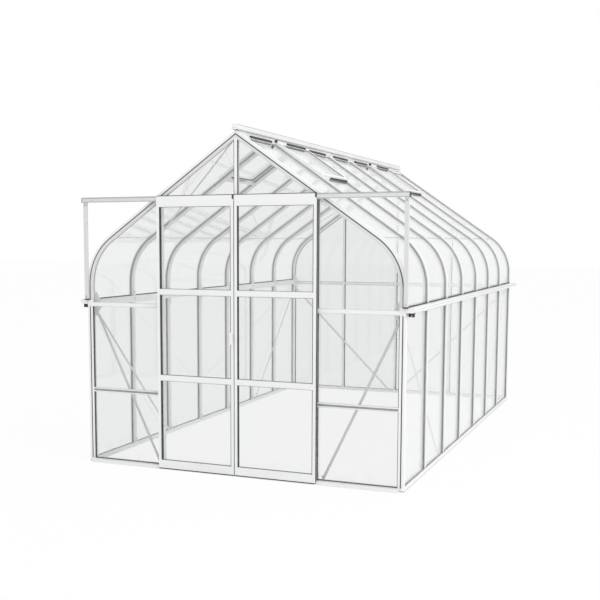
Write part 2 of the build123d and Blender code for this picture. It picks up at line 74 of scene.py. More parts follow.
# Curved eave and roof
CURVE_RADIUS = 0.445
ROOF_PITCH = math.radians(35)
SLOPE_COS = math.cos(ROOF_PITCH)
SLOPE_SIN = math.sin(ROOF_PITCH)
SLOPE = math.tan(ROOF_PITCH)
SLOPE_OUT = (SLOPE_SIN, 0, SLOPE_COS)
SLOPE_IN = (-SLOPE_SIN, 0, -SLOPE_COS)
WALL_TOP = BEAM_TOP + 0.118
ARC_X = HALF_WIDTH - CURVE_RADIUS
ROOF_X = ARC_X + CURVE_RADIUS * SLOPE_SIN
ROOF_Z = WALL_TOP + CURVE_RADIUS * SLOPE_COS
ARC_STEPS = 14

# Ridge and vents
RIDGE_WING_X = 0.052
CAP_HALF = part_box("ridge_cap")[1].x
CAP_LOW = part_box("ridge_cap")[0].z
CAP_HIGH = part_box("ridge_cap")[1].z
CAP_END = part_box("ridge_cap")[1].y
VENT_BAYS = (1, 5)
VENT_FOOT_X = 0.420
VENT_HEAD_X = 0.056
VENT_RAIL = 0.028
VENT_LOW = CAP_TOP + 0.0003
VENT_HIGH = VENT_LOW + 0.014
VENT_PANE_TOP = VENT_LOW + 0.007 + PANE_FACE
VENT_HALF = PITCH / 2 + 0.010

# Door leaves
LEAF_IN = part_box("right_door_frame")[0].x
LEAF_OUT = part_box("right_door_frame")[1].x
LEAF_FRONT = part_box("right_door_frame")[0].y
LEAF_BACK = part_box("right_door_frame")[1].y
LEAF_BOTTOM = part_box("right_door_frame")[0].z
LEAF_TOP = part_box("right_door_frame")[1].z
STILE = 0.022
PANE_BITE = 0.006
LEAF_PANE_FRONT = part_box("right_door_glass")[0].y
LEAF_PANE_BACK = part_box("right_door_glass")[1].y
LIGHT_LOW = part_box("right_door_glass")[0].z + PANE_BITE
LIGHT_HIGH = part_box("right_door_glass")[1].z - PANE_BITE
MIDDLE_RAIL_HALF = 0.021
MIDDLE_RAILS = (0.705, 1.355)

# Rubber and fixings
SEAL = 0.0035
PROUD = 0.0004
INLAY = 0.002
CLEAT = 0.002
CLEAT_HALF = 0.011
ROUND_SIDES = 16
FORWARD = (0, -1, 0)
BACKWARD = (0, 1, 0)


# Shader maths

class Wire:
    """A socket of a material's nodes that takes part in Python's own arithmetic."""

    def __init__(self, tree, socket=None):
        self.tree = tree
        self.socket = socket

    def node(self, kind, settings=None, values=None, out=0):
        """Add a node: its type, its settings, and then its sockets' values or links."""
        made = self.tree.nodes.new(kind)
        for name, value in (settings or {}).items():
            setattr(made, name, value)
        for name, value in (values or {}).items():
            if isinstance(value, Wire):
                self.tree.links.new(value.socket, made.inputs[name])
            else:
                made.inputs[name].default_value = value
        return Wire(self.tree, made.outputs[out] if made.outputs else None)

    def maths(self, operation, first, second):
        return self.node("ShaderNodeMath", {"operation": operation}, {0: first, 1: second})

    def __add__(self, other):
        return self.maths("ADD", self, other)

    __radd__ = __add__

    def __mul__(self, other):
        return self.maths("MULTIPLY", self, other)

    __rmul__ = __mul__

    def __rsub__(self, other):
        return self.maths("SUBTRACT", other, self)

    def __pow__(self, other):
        return self.maths("POWER", self, other)

    def __or__(self, other):
        """The larger of two values."""
        return self.maths("MAXIMUM", self, other)

    def spread(self, low, high):
        """The value from a range to 0 and 1, eased and held at both ends."""
        return self.node("ShaderNodeMapRange", {"interpolation_type": "SMOOTHSTEP"},
                         {0: self, 1: low, 2: high, 3: 0.0, 4: 1.0})

    def blend(self, first, second):
        """A colour between two others, by this value."""
        return self.node("ShaderNodeMix", {"data_type": "RGBA"}, {0: self, 6: first, 7: second}, out=2)

    def spot(self):
        """The place on the piece, in its own metres."""
        return self.node("ShaderNodeTexCoord", out=3)

    def height(self):
        """The Z of a place."""
        return self.node("ShaderNodeSeparateXYZ", None, {0: self}, out=2)

    def grain(self, scale, detail=2.0, stretch=(1, 1, 1)):
        """Noise fixed to a place on the piece, from 0 to 1."""
        place = self.node("ShaderNodeVectorMath", {"operation": "MULTIPLY"}, {0: self, 1: stretch})
        return self.node("ShaderNodeTexNoise", None, {"Vector": place, "Scale": scale, "Detail": detail})

    def relief(self, strength, depth):
        """A bumped normal from a height between 0 and 1."""
        return self.node("ShaderNodeBump", None, {"Strength": strength, "Distance": depth, "Height": self})

    def coat(self, colour, roughness, normal=None, metal=0.0):
        """The plain shader of paint, plastic, rubber, metal and dust."""
        values = {"Base Color": colour, "Roughness": roughness, "Metallic": metal}
        if normal:
            values["Normal"] = normal
        return self.node("ShaderNodeBsdfPrincipled", None, values)

    def over(self, under, top):
        """One shader over another, by this value."""
        return self.node("ShaderNodeMixShader", None, {0: self, 1: under, 2: top})


def new_material(name):
    """An empty material and a wire to start its nodes from."""
    material = bpy.data.materials.new(name)
    material.use_nodes = True
    material.node_tree.nodes.clear()
    return material, Wire(material.node_tree)


def show(wire, shader):
    """Link a shader to the material's output."""
    wire.node("ShaderNodeOutputMaterial", None, {"Surface": shader})


def rgba(red, green, blue):
    return (red, green, blue, 1.0)


def powder_coat(name, colour, shade, roughness=0.36):
    """Satin powder coat: a faint pebble, soft clouds of tone and a little dust low down."""
    material, wire = new_material(name)
    spot = wire.spot()
    cloud = spot.grain(2.6, detail=4.0)
    speck = spot.grain(90.0, detail=5.0)
    dust_line = 0.12
    dust = (1 - spot.height().spread(0.0, dust_line)) * speck.spread(0.45, 0.75)
    tone = cloud.spread(0.35, 0.75).blend(rgba(*colour), rgba(*shade))
    tone = (dust * 0.22).blend(tone, rgba(0.66, 0.64, 0.60))
    sheen = cloud * 0.14 + (roughness - 0.07) + dust * 0.2
    pebble = spot.grain(640.0).relief(strength=0.3, depth=0.0002)
    show(wire, wire.coat(tone, sheen, pebble))
    return material


def clear_glass(name, tint, dust_share):
    """A pane's face: tinted and see-through, with a mirror that grows towards grazing sight."""
    material, wire = new_material(name)
    spot = wire.spot()
    facing = wire.node("ShaderNodeLayerWeight", None, {"Blend": 0.5}, out=1)
    mirror = 0.04 + 0.96 * facing ** 5
    ripple = spot.grain(1.3, detail=0.0).relief(strength=0.1, depth=0.0004)
    see_through = wire.node("ShaderNodeBsdfTransparent", None, {"Color": rgba(*tint)})
    shine = wire.node("ShaderNodeBsdfAnisotropic", None,
                      {"Color": rgba(0.985, 0.988, 0.988), "Roughness": 0.02, "Normal": ripple})
    film = spot.grain(7.0, detail=5.0, stretch=(1, 1, 0.35))
    splash = (1 - spot.height().spread(0.03, 0.16)) * film.spread(0.35, 0.6)
    dust = film.spread(0.4, 0.75) * dust_share + splash * 0.04
    show(wire, dust.over(mirror.over(see_through, shine), wire.coat(rgba(0.80, 0.80, 0.79), 0.7)))
    return material


def plain_finish(name, colour, shade, roughness, scale, depth, metal=0.0):
    """A moulded, rubber or metal surface with its own grain and patches of tone."""
    material, wire = new_material(name)
    spot = wire.spot()
    fine = spot.grain(scale, detail=3.0)
    patch = spot.grain(scale / 14, detail=3.0)
    tone = patch.spread(0.3, 0.7).blend(rgba(*colour), rgba(*shade))
    show(wire, wire.coat(tone, patch * 0.16 + (roughness - 0.08), fine.relief(0.5, depth), metal))
    return material


def rubber(name, colour, shade, roughness=0.60):
    """Glazing rubber, with the bloom that dulls it in patches."""
    return plain_finish(name, colour, shade, roughness, scale=300.0, depth=0.0002)


white_coat = powder_coat("white_powder_coat", (0.88, 0.884, 0.888), (0.85, 0.854, 0.858))
cap_coat = powder_coat("ridge_cap_coat", (0.80, 0.804, 0.808), (0.77, 0.774, 0.778))
grey_coat = powder_coat("light_grey_coat", (0.72, 0.725, 0.73), (0.68, 0.685, 0.69), roughness=0.42)
gable_glass = clear_glass("gable_glass", (0.947, 0.949, 0.949), dust_share=0.004)
wall_glass = clear_glass("side_wall_glass", (0.960, 0.962, 0.962), dust_share=0.004)
roof_glass = clear_glass("clear_roof_glass", (0.984, 0.985, 0.985), dust_share=0.002)
joint_glass = clear_glass("translucent_strip", (0.950, 0.952, 0.952), dust_share=0.02)
# The dark, grey and pale rubbers and the black plastic are real seals and mouldings, and also the colour of
# painted shade: strips and lines set where only shade or shadow falls.
dark_rubber_and_shade = rubber("dark_glazing_rubber_and_painted_shade", (0.050, 0.051, 0.053), (0.080, 0.081, 0.083), roughness=0.62)
grey_rubber_and_shade = rubber("grey_glazing_rubber_and_painted_shade", (0.26, 0.265, 0.27), (0.32, 0.325, 0.33))
pale_rubber_and_shade = rubber("pale_glazing_rubber_and_painted_shade", (0.42, 0.425, 0.43), (0.47, 0.475, 0.48))
face_strip = plain_finish("pale_face_strip", (0.72, 0.725, 0.725), (0.70, 0.705, 0.705),
                          roughness=0.5, scale=300.0, depth=0.0001)
black_plastic = plain_finish("black_moulded_plastic_and_painted_shadow", (0.022, 0.022, 0.023), (0.035, 0.035, 0.036),
                             roughness=0.48, scale=420.0, depth=0.0003)
bright_zinc = plain_finish("bright_zinc", (0.66, 0.67, 0.69), (0.54, 0.55, 0.57),
                           roughness=0.34, scale=260.0, depth=0.0001, metal=1.0)


# Mesh building

class Form:
    """The points and faces of one piece, gathered before its mesh is made."""

    def __init__(self):
        self.points = []
        self.faces = []

    def skin(self, rings, steps):
        """Add rings of points, and faces from each to the next for a number of steps."""
        start = len(self.points)
        sides = len(rings[0])
        for ring in rings:
            self.points.extend(Vector(point) for point in ring)
        for step in range(steps):
            here = start + step * sides
            there = start + (step + 1) % len(rings) * sides
            for side in range(sides):
                after = (side + 1) % sides
                self.faces.append((here + side, here + after, there + after, there + side))
        return start, start + (len(rings) - 1) * sides, sides

    def rings(self, rings):
        """Skin a row of closed rings, and close both ends."""
        first, last, sides = self.skin(rings, len(rings) - 1)
        self.faces.append(tuple(range(first, first + sides)))
        self.faces.append(tuple(range(last, last + sides)))

    def loop(self, rings):
        """Skin a row of closed rings, and join the last one to the first."""
        self.skin(rings, len(rings))

    def block(self, x0, x1, y0, y1, z0, z1):
        """A bar between two corners."""
        self.rings([[(x0, y0, z), (x1, y0, z), (x1, y1, z), (x0, y1, z)] for z in (z0, z1)])

    def run(self, points, along):
        """Run a closed outline from its place along a vector."""
        self.rings([[Vector(point) for point in points], [Vector(point) + Vector(along) for point in points]])

    def rib(self, x0, x1, y, z, foot_half, crest_half, rise):
        """A tapered rib along a front face."""
        sunk = 0.0002
        self.run([(x0, y + sunk, z - foot_half), (x0, y - rise, z - crest_half),
                  (x0, y - rise, z + crest_half), (x0, y + sunk, z + foot_half)], (x1 - x0, 0, 0))

    def turned(self, at, axis, profile, sides=ROUND_SIDES):
        """Turn a row of (radius, height) about an axis through a point."""
        turn = Vector((0, 0, 1)).rotation_difference(Vector(axis)).to_matrix()
        rings = []
        for radius, height in profile:
            ring = []
            for side in range(sides):
                angle = 2 * math.pi * (side + 0.5) / sides
                local = Vector((radius * math.cos(angle), radius * math.sin(angle), height))
                ring.append(Vector(at) + turn @ local)
            rings.append(ring)
        self.rings(rings)

    def bolt(self, at, axis, across=0.010):
        """A washer with a chamfered hexagon head on it."""
        head = across / math.sqrt(3)
        washer = head * 1.3
        self.turned(at, axis, [(head * 1.25, -0.0005), (washer, 0.0003), (washer, 0.0009),
                               (head * 1.2, 0.0012)])
        self.turned(at, axis, [(head, 0.0010), (head, 0.0044), (head * 0.86, 0.0052)], sides=6)

    def screw(self, at, axis, radius=0.0038):
        """A low domed screw head with a recess in its middle."""
        dome = 0.0017
        recess = radius * 0.34
        self.turned(at, axis, [(radius, -0.0005), (radius * 0.96, 0.0006), (radius * 0.72, 0.0014),
                               (radius * 0.42, dome), (recess, dome), (radius * 0.26, 0.0006)], sides=12)

    def mirrored(self, *matrices):
        """Add a mirrored copy of all that is here, for each mirror in turn."""
        for matrix in matrices:
            start = len(self.points)
            self.points.extend([matrix @ point for point in self.points])
            self.faces.extend([tuple(start + index for index in face) for face in self.faces])

    def make(self, name, finish, slot, soft_edge=0.0, body="greenhouse", turn=None):
        """The finished piece, on its body. Its slot is not used."""
        points = [turn @ point for point in self.points] if turn else self.points
        mesh = bpy.data.meshes.new(name)
        mesh.from_pydata([tuple(point) for point in points], [], self.faces)
        build = bmesh.new()
        build.from_mesh(mesh)
        bmesh.ops.recalc_face_normals(build, faces=build.faces)
        build.to_mesh(mesh)
        build.free()
        piece = bpy.data.objects.new(name, mesh)
        bpy.context.scene.collection.objects.link(piece)
        mesh.materials.append(finish)
        if soft_edge:
            soften(piece, soft_edge)
        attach(piece, body)
        return piece


LEFT_RIGHT = Matrix.Scale(-1, 4, (1, 0, 0))
FRONT_REAR = Matrix.Scale(-1, 4, (0, 1, 0))


def mirror_all(forms, *matrices):
    """Mirror several forms alike."""
    for form in forms:
        form.mirrored(*matrices)


def soften(piece, width):
    """Round a piece's sharp edges a little."""
    bevel = piece.modifiers.new("soft_edges", "BEVEL")
    bevel.width = width
    bevel.segments = 2
    bevel.limit_method = "ANGLE"
    bevel.angle_limit = math.radians(50)
    bevel.harden_normals = False


def bay_span(bay, clearance=0.0):
    """Front and rear Y of the glass that shows between the bar caps of a bay, less a clearance."""
    y0 = FRONT + bay * PITCH + BAR_HALF + clearance
    return y0, y0 + PITCH - 2 * (BAR_HALF + clearance)


def bay_middle(bay):
    """Y of a bay's middle."""
    return FRONT + (bay + 0.5) * PITCH


# The line of the glass over the wall, the curved eave and the roof

def eave_line(offset, z_low, x_high):
    """Points on the right-hand glass line, set out by an offset, from the wall up the roof."""
    points = [(HALF_WIDTH + offset, z_low), (HALF_WIDTH + offset, WALL_TOP)]
    reach = CURVE_RADIUS + offset
    for step in range(1, ARC_STEPS + 1):
        angle = (math.pi / 2 - ROOF_PITCH) * step / ARC_STEPS
        points.append((ARC_X + reach * math.cos(angle), WALL_TOP + reach * math.sin(angle)))
    points.append((x_high, on_slope(x_high, offset)))
    return points


def eave_strip(form, y0, y1, low, high, z_low, x_high):
    """A strip that follows the right-hand glass between two offsets from it."""
    inner = eave_line(low, z_low, x_high)
    outer = eave_line(high, z_low, x_high)
    form.rings([[(a[0], y0, a[1]), (b[0], y0, b[1]), (b[0], y1, b[1]), (a[0], y1, a[1])]
                for a, b in zip(inner, outer)])


def on_slope(x, offset=0.0):
    """Height of the roof's glass line at X, set out by an offset."""
    return ROOF_Z + (ROOF_X - abs(x)) * SLOPE + offset / SLOPE_COS


def slope_length_to(x):
    """Distance up the slope from the end of the curve to a given X."""
    return (ROOF_X - x) / SLOPE_COS


def slope_point(along, y, offset):
    """A point up the right-hand slope, set out from its glass."""
    return Vector((ROOF_X - along * SLOPE_COS + offset * SLOPE_SIN, y,
                   ROOF_Z + along * SLOPE_SIN + offset * SLOPE_COS))


def slope_block(form, along0, along1, y0, y1, low, high):
    """A bar that lies on the right-hand slope."""
    form.rings([[slope_point(along, y0, low), slope_point(along, y1, low),
                 slope_point(along, y1, high), slope_point(along, y0, high)] for along in (along0, along1)])


# Finishes of the CAD pieces

def pane_finish(name):
    """The glass of a pane: of the roof, of a side wall or of a gable."""
    if "eave" in name or "roof" in name or "vent" in name:
        return roof_glass
    return wall_glass if "side" in name else gable_glass


def coat_finish(name):
    """The powder coat of a bar, plate or rail."""
    if "brace" in name or "track" in name:
        return grey_coat
    return cap_coat if name == "ridge_cap" else white_coat


def finish_cad_pieces():
    """Glass on the panes, black on the wheels, and soft-edged powder coat on all the rest."""
    for name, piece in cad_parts.items():
        piece.data.materials.clear()
        if "glass" in name:
            piece.data.materials.append(pane_finish(name))
        elif "rollers" in name or "outlets" in name:
            piece.data.materials.append(black_plastic)
        else:
            piece.data.materials.append(coat_finish(name))
            weld = piece.modifiers.new("joined_points", "WELD")
            weld.merge_threshold = 0.00002
            soften(piece, 0.0006)


# Seals of the walls, eaves and roof

def bar_seals(name, wall_finish, roof_finish, bar_reach, corner_reach, low, high):
    """Rubber on both sides of every bar: from the sill to the eave, and from there to the ridge."""
    walls, roofs = Form(), Form()
    tuck = 0.0005
    for bay in range(BAYS + 1):
        y = FRONT + bay * PITCH
        for side in (-1, 1):
            if (bay == 0 and side < 0) or (bay == BAYS and side > 0):
                continue
            reach = corner_reach if bay in (0, BAYS) else bar_reach
            y0, y1 = sorted((y + side * (reach - tuck), y + side * (reach + SEAL)))
            eave_strip(roofs, y0, y1, low, high, BEAM_TOP, RIDGE_WING_X)
            walls.block(HALF_WIDTH + low, HALF_WIDTH + high, y0, y1, SILL_TOP, BEAM_BOTTOM)
    mirror_all((walls, roofs), LEFT_RIGHT)
    walls.make(f"{name}_wall_bar_seals", wall_finish, "black_plastic")
    roofs.make(f"{name}_roof_bar_seals", roof_finish, "black_plastic")


def outer_seals_and_flank_shade():
    """The high seals outside, between the panes and the bar caps: real rubber, made tall so that it also
    paints the shade on the bars' flanks.
    """
    rise = 0.006
    bar_seals("outer", grey_rubber_and_shade, pale_rubber_and_shade, BAR_HALF, CORNER_CAP, PANE_FACE, PANE_FACE + rise)


def inner_bar_seals():
    """The low seals inside, between the panes and the bar bodies."""
    bar_seals("inner", pale_rubber_and_shade, pale_rubber_and_shade, BODY_HALF, CORNER_BODY, -PANE_FACE - SEAL, -PANE_FACE)


def pane_foot_seals():
    """Rubber along the sills and under the eave beams, outside and inside."""
    form = Form()
    for bay in range(BAYS):
        y0, y1 = bay_span(bay)
        for z0, z1 in ((SILL_TOP, SILL_TOP + SEAL), (BEAM_BOTTOM - SEAL, BEAM_BOTTOM)):
            form.block(HALF_WIDTH + PANE_FACE, HALF_WIDTH + PANE_FACE + SEAL, y0, y1, z0, z1)
            form.block(HALF_WIDTH - PANE_FACE - SEAL, HALF_WIDTH - PANE_FACE, y0, y1, z0, z1)
    form.mirrored(LEFT_RIGHT)
    form.make("pane_foot_seals", grey_rubber_and_shade, "black_plastic")


def gutter_line_seals_and_shade():
    """Dark rubber where the curved panes stand on the eave beams, between the bars: a real seal, made wide
    and tall outside to paint the shade of the gap there.
    """
    form = Form()
    rise = 0.008
    set_back = 0.001
    for bay in range(BAYS):
        y0, y1 = bay_span(bay, clearance=0.002)
        form.block(HALF_WIDTH + PANE_FACE, OUTER - set_back, y0, y1, BEAM_TOP, BEAM_TOP + rise)
        form.block(HALF_WIDTH - PANE_FACE - SEAL, HALF_WIDTH - PANE_FACE, y0, y1, BEAM_TOP, BEAM_TOP + SEAL)
    form.mirrored(LEFT_RIGHT)
    form.make("gutter_line_seals_and_shade", dark_rubber_and_shade, "black_plastic", soft_edge=0.0008)


def pane_joint_strips():
    """Translucent strips where the curved panes meet the roof panes."""
    form = Form()
    half = 0.007
    thick = 0.0015
    for bay in range(BAYS):
        y0, y1 = bay_span(bay, clearance=0.001)
        slope_block(form, -half, half, y0, y1, PANE_FACE, PANE_FACE + thick)
        slope_block(form, -half, half, y0, y1, -PANE_FACE - thick, -PANE_FACE)
    form.mirrored(LEFT_RIGHT)
    form.make("pane_joint_strips", joint_glass, "glass")


def bar_splices():
    """Thin saddles over the bars where a curved bar is joined to a roof bar, and straps under them."""
    saddles, joints, screws = Form(), Form(), Form()
    reach = 0.019
    skirt = CAP_TOP - 0.006
    saddle_top = CAP_TOP + 0.0012
    saddle_half = BAR_HALF + 0.001
    gap_half = 0.0012
    gap_width = saddle_half + PROUD
    strap_half = BODY_HALF + 0.0015
    strap_low = -BAR_DEPTH - 0.0018
    screw_reach = 0.010
    bolt_reach = 0.024
    for y in BAR_YS:
        slope_block(saddles, -reach, reach, y - saddle_half, y + saddle_half, skirt, saddle_top)
        slope_block(joints, -gap_half, gap_half, y - gap_width, y + gap_width, skirt, saddle_top + PROUD)
        slope_block(saddles, -2 * reach, 2 * reach, y - strap_half, y + strap_half, strap_low, -BAR_DEPTH)
        for side in (-1, 1):
            screws.screw(slope_point(side * screw_reach, y, saddle_top), SLOPE_OUT, radius=0.003)
            screws.bolt(slope_point(side * bolt_reach, y, strap_low), SLOPE_IN, across=0.008)
    mirror_all((saddles, joints, screws), LEFT_RIGHT)
    saddles.make("bar_splices", white_coat, "white_frame", soft_edge=0.0004)
    joints.make("bar_splice_joints", grey_rubber_and_shade, "black_plastic")
    screws.make("bar_splice_screws", bright_zinc, "white_frame")


# Seals of the gables

def opening_seal(uprights, levels, edges, opening, y0, y1, width=SEAL):
    """Rubber round one opening of a gable, whose top follows the roof where it has no height."""
    x0, x1, z0, z1 = opening
    foot = uprights if z0 in (SILL_TOP, HEADER_TOP) else levels
    foot.block(x0, x1, y0, y1, z0, z0 + width)
    if z1 is not None:
        levels.block(x0, x1, y0, y1, z1 - width, z1)
        uprights.block(x0, x0 + width, y0, y1, z0 + width, z1 - width)
        uprights.block(x1 - width, x1, y0, y1, z0 + width, z1 - width)
        return
    low = -BAR_DEPTH - width
    high = -BAR_DEPTH
    uprights.block(x0, x0 + width, y0, y1, z0 + width, on_slope(x0, low))
    if x1 > ROOF_X:
        eave_strip(edges, y0, y1, low, high, z0 + width, x0)
        return
    uprights.block(x1 - width, x1, y0, y1, z0 + width, on_slope(x1, low))
    edges.rings([[(x, y0, on_slope(x, low)), (x, y0, on_slope(x, high)),
                  (x, y1, on_slope(x, high)), (x, y1, on_slope(x, low))] for x in (x1, x0)])


def gable_openings(front, bar_half):
    """X and Z of each opening of the right half, clear of its bars. No upper Z means up to the roof."""
    above = EAVE_RAIL_Z + RAIL_HALF
    below = EAVE_RAIL_Z - RAIL_HALF
    from_middle = (bar_half, JAMB_X - bar_half)
    from_jamb = (JAMB_X + bar_half, POST_INNER)
    if front:
        return [(*from_jamb, SILL_TOP, TRANSOM_Z - RAIL_HALF), (*from_jamb, TRANSOM_Z + RAIL_HALF, below),
                (*from_jamb, above, None), (*from_middle, HEADER_TOP, None)]
    return [(*from_middle, SILL_TOP, below), (*from_middle, above, None),
            (*from_jamb, SILL_TOP, below), (*from_jamb, above, None)]


def gable_seals():
    """Rubber round the gable panes, nearly as deep as the bars outside and low inside: the deep dark rubber
    up the sides of the openings also paints the shade on the bars' flanks.
    """
    outer_face = FRONT_FACE - PANE_FACE + 0.003
    outer_width = 0.004
    for place, turn in (("front", None), ("rear", FRONT_REAR)):
        uprights, levels, edges, inside = Form(), Form(), Form(), Form()
        for opening in gable_openings(place == "front", BAR_HALF):
            opening_seal(uprights, levels, edges, opening, outer_face, FRONT - PANE_FACE, outer_width)
        for opening in gable_openings(place == "front", BODY_HALF):
            opening_seal(inside, inside, inside, opening, FRONT + PANE_FACE, FRONT + PANE_FACE + SEAL)
        mirror_all((uprights, levels, edges, inside), LEFT_RIGHT)
        uprights.make(f"{place}_pane_seals", dark_rubber_and_shade, "black_plastic", turn=turn)
        levels.make(f"{place}_rail_seals", face_strip, "white_frame", turn=turn)
        edges.make(f"{place}_edge_seals", face_strip, "white_frame", turn=turn)
        inside.make(f"{place}_inner_seals", pale_rubber_and_shade, "black_plastic", turn=turn)


def gable_edge_shade_lines():
    """A dark line in the face of the gables' edge bars, which paints the shade of their flanks, and the pale
    strip inside it.
    """
    lines, strips = Form(), Form()
    y0 = FRONT_FACE - PROUD
    y1 = FRONT_FACE + INLAY
    low, high = -0.0105, -0.0025
    lines.block(HALF_WIDTH + low, HALF_WIDTH + high, y0, y1, SILL_TOP, BEAM_BOTTOM)
    eave_strip(lines, y0, y1, low, high, BEAM_TOP, 0)
    eave_strip(strips, y0 + 0.0001, y1, -BAR_DEPTH + PROUD, low, BEAM_TOP, 0)
    mirror_all((lines, strips), LEFT_RIGHT, FRONT_REAR)
    lines.make("gable_edge_shade_lines", dark_rubber_and_shade, "black_plastic")
    strips.make("gable_face_strips", face_strip, "white_frame")


def transom_lines():
    """The grey rubber face of the two lower rails beside the doorway."""
    form = Form()
    half = 0.0075
    proud = 0.0005
    form.block(JAMB_X + BAR_HALF, POST_INNER, FRONT_FACE - proud, FRONT_FACE + INLAY,
               TRANSOM_Z - half, TRANSOM_Z + half)
    form.mirrored(LEFT_RIGHT)
    form.make("transom_lines", grey_rubber_and_shade, "black_plastic")


def sill_foot_shade_lines():
    """Grey strips along the foot of the four sills: painted contact shadow."""
    form = Form()
    strip = 0.0033
    low = 0.0002
    front_low = 0.0045
    front_strip = 0.0035
    y0, y1 = FRONT_FACE - PROUD, PROUD - FRONT_FACE
    form.block(OUTER - INLAY, OUTER + PROUD, y0, y1, low, low + strip)
    form.mirrored(LEFT_RIGHT)
    form.block(-OUTER, OUTER, -FRONT_FACE - INLAY, y1, low, low + strip)
    form.block(-OUTER, OUTER, y0, FRONT_FACE + INLAY, front_low, front_low + front_strip)
    form.make("sill_foot_shade_lines", grey_rubber_and_shade, "black_plastic")


# End plates, gutters and outlets

def beam_end_plates():
    """Plates that close the eave beams and the ridge cap, with their screws."""
    plates, screws = Form(), Form()
    thick = 0.0014
    inset = 0.010
    beam_face = FRONT_FACE - thick
    plates.block(POST_INNER, OUTER, beam_face, FRONT_FACE, BEAM_BOTTOM, BEAM_TOP)
    for z in (BEAM_BOTTOM + inset, BEAM_TOP - inset):
        screws.screw(((POST_INNER + OUTER) / 2, beam_face, z), FORWARD)
    mirror_all((plates, screws), LEFT_RIGHT)
    cap_face = -CAP_END - thick
    plates.block(-CAP_HALF, CAP_HALF, cap_face, -CAP_END, CAP_LOW, CAP_HIGH)
    for x in (-0.012, 0.012):
        screws.screw((x, cap_face, CAP_LOW + 0.014), FORWARD, radius=0.003)
    mirror_all((plates, screws), FRONT_REAR)
    plates.make("end_plates", white_coat, "white_frame", soft_edge=0.0005)
    screws.make("end_plate_screws", bright_zinc, "white_frame")


def gutter_details():
    """End caps, a rolled lip and sleeves on both gutters, and grey strips along them that paint the shadow
    under the lip and the shade in the trough.
    """
    low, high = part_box("gutter_right")
    trim, lines = Form(), Form()
    corner = 0.012
    corner_steps = 6
    thick = 0.0016
    lap = 0.004
    lip = 0.0022
    sleeve_half = 0.006

    def cap_outline(y):
        reach = corner + thick
        points = [(low.x, low.z - thick), (high.x - corner, low.z - thick)]
        for step in range(1, corner_steps):
            angle = math.pi / 2 * step / corner_steps
            across, down = reach * math.sin(angle), reach * math.cos(angle)
            points.append((high.x - corner + across, low.z + corner - down))
        points += [(high.x + thick, low.z + corner), (high.x + thick, high.z), (low.x, high.z)]
        return [(x, y, z) for x, z in points]

    for y in (low.y - thick, high.y - lap):
        trim.run(cap_outline(y), (0, thick + lap, 0))
    trim.turned((high.x - lip, low.y, high.z), BACKWARD, [(lip, 0), (lip, high.y - low.y)], sides=10)
    for y in BAR_YS:
        trim.block(low.x, high.x - 0.002, y - sleeve_half, y + sleeve_half, high.z - 0.0002, high.z + 0.0014)
    y0, y1 = low.y + lap, high.y - lap
    # Painted shade: a grey strip under the outer lip, and one along the inner top edge.
    lines.block(high.x - 0.001, high.x + PROUD, y0, y1, high.z - 0.0115, high.z - 0.0090)
    lines.block(low.x, low.x + 0.0026, y0, y1, high.z - 0.0010, high.z + 0.0012)
    mirror_all((trim, lines), LEFT_RIGHT)
    trim.make("gutter_trim", white_coat, "white_frame", soft_edge=0.0005)
    lines.make("gutter_shade_lines", grey_rubber_and_shade, "black_plastic")


def outlets():
    """Black spouts under the gutters' front ends, each a flanged tube with a notch front and rear."""
    low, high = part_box("gutter_outlets")
    radius = (high.y - low.y) / 2
    bore = radius - 0.004
    rim = radius + 0.004
    middle_x = high.x - radius
    middle_y = (low.y + high.y) / 2
    notch_top = low.z + 0.015
    notch_angle = math.asin(0.007 / radius)
    sides = 32
    foot_steps = 14
    flange_low = high.z - 0.0034
    flange_edge = high.z - 0.0008
    flange = ((bore, high.z), (bore, flange_low), (rim, flange_low), (rim, flange_edge),
              (rim - 0.001, high.z))
    tube = ((bore, notch_top), (radius, notch_top), (radius, high.z), (bore, high.z))
    foot = ((bore, low.z), (radius, low.z), (radius, notch_top), (bore, notch_top))

    def section(profile, angle):
        return [(middle_x + reach * math.cos(angle), middle_y + reach * math.sin(angle), z)
                for reach, z in profile]

    form = Form()
    for profile, offset in ((flange, 0.5), (tube, 0)):
        form.loop([section(profile, 2 * math.pi * (side + offset) / sides) for side in range(sides)])
    sweep = math.pi - 2 * notch_angle
    for notch in (-math.pi / 2, math.pi / 2):
        form.rings([section(foot, notch + notch_angle + sweep * step / foot_steps)
                    for step in range(foot_steps + 1)])
    form.mirrored(LEFT_RIGHT)
    piece = form.make("notched_outlets", black_plastic, "black_plastic")
    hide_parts("gutter_outlets")


# Ridge

def ridge_shadow_strips_and_stops():
    """Black strips under the ridge cap, which paint the shadow there over most of each bay, and a black stop
    at the front of each vent's hinge.
    """
    form = Form()
    half = 0.009
    thick = 0.0135
    stop = 0.008
    stop_along = slope_length_to(VENT_HEAD_X - 0.012)
    for bay in range(BAYS - 1):
        # Painted shadow: from a quarter of the way into each bay to near its rear bar.
        y0, y1 = [FRONT + (bay + share) * PITCH for share in (0.25, 0.88)]
        over_vent = bay in VENT_BAYS
        along = slope_length_to(VENT_HEAD_X + 0.010 if over_vent else 0.036)
        low = VENT_HIGH - 0.001 if over_vent else 0.0055
        slope_block(form, along - half, along + half, y0, y1, low, low + thick)
        if over_vent:
            hinge_y = bay_middle(bay) - VENT_HALF
            slope_block(form, stop_along - stop, stop_along + 0.012, hinge_y - stop, hinge_y,
                        CAP_TOP, VENT_HIGH + stop)
    form.mirrored(LEFT_RIGHT)
    form.make("ridge_vent_strips", black_plastic, "black_plastic", soft_edge=0.0008)


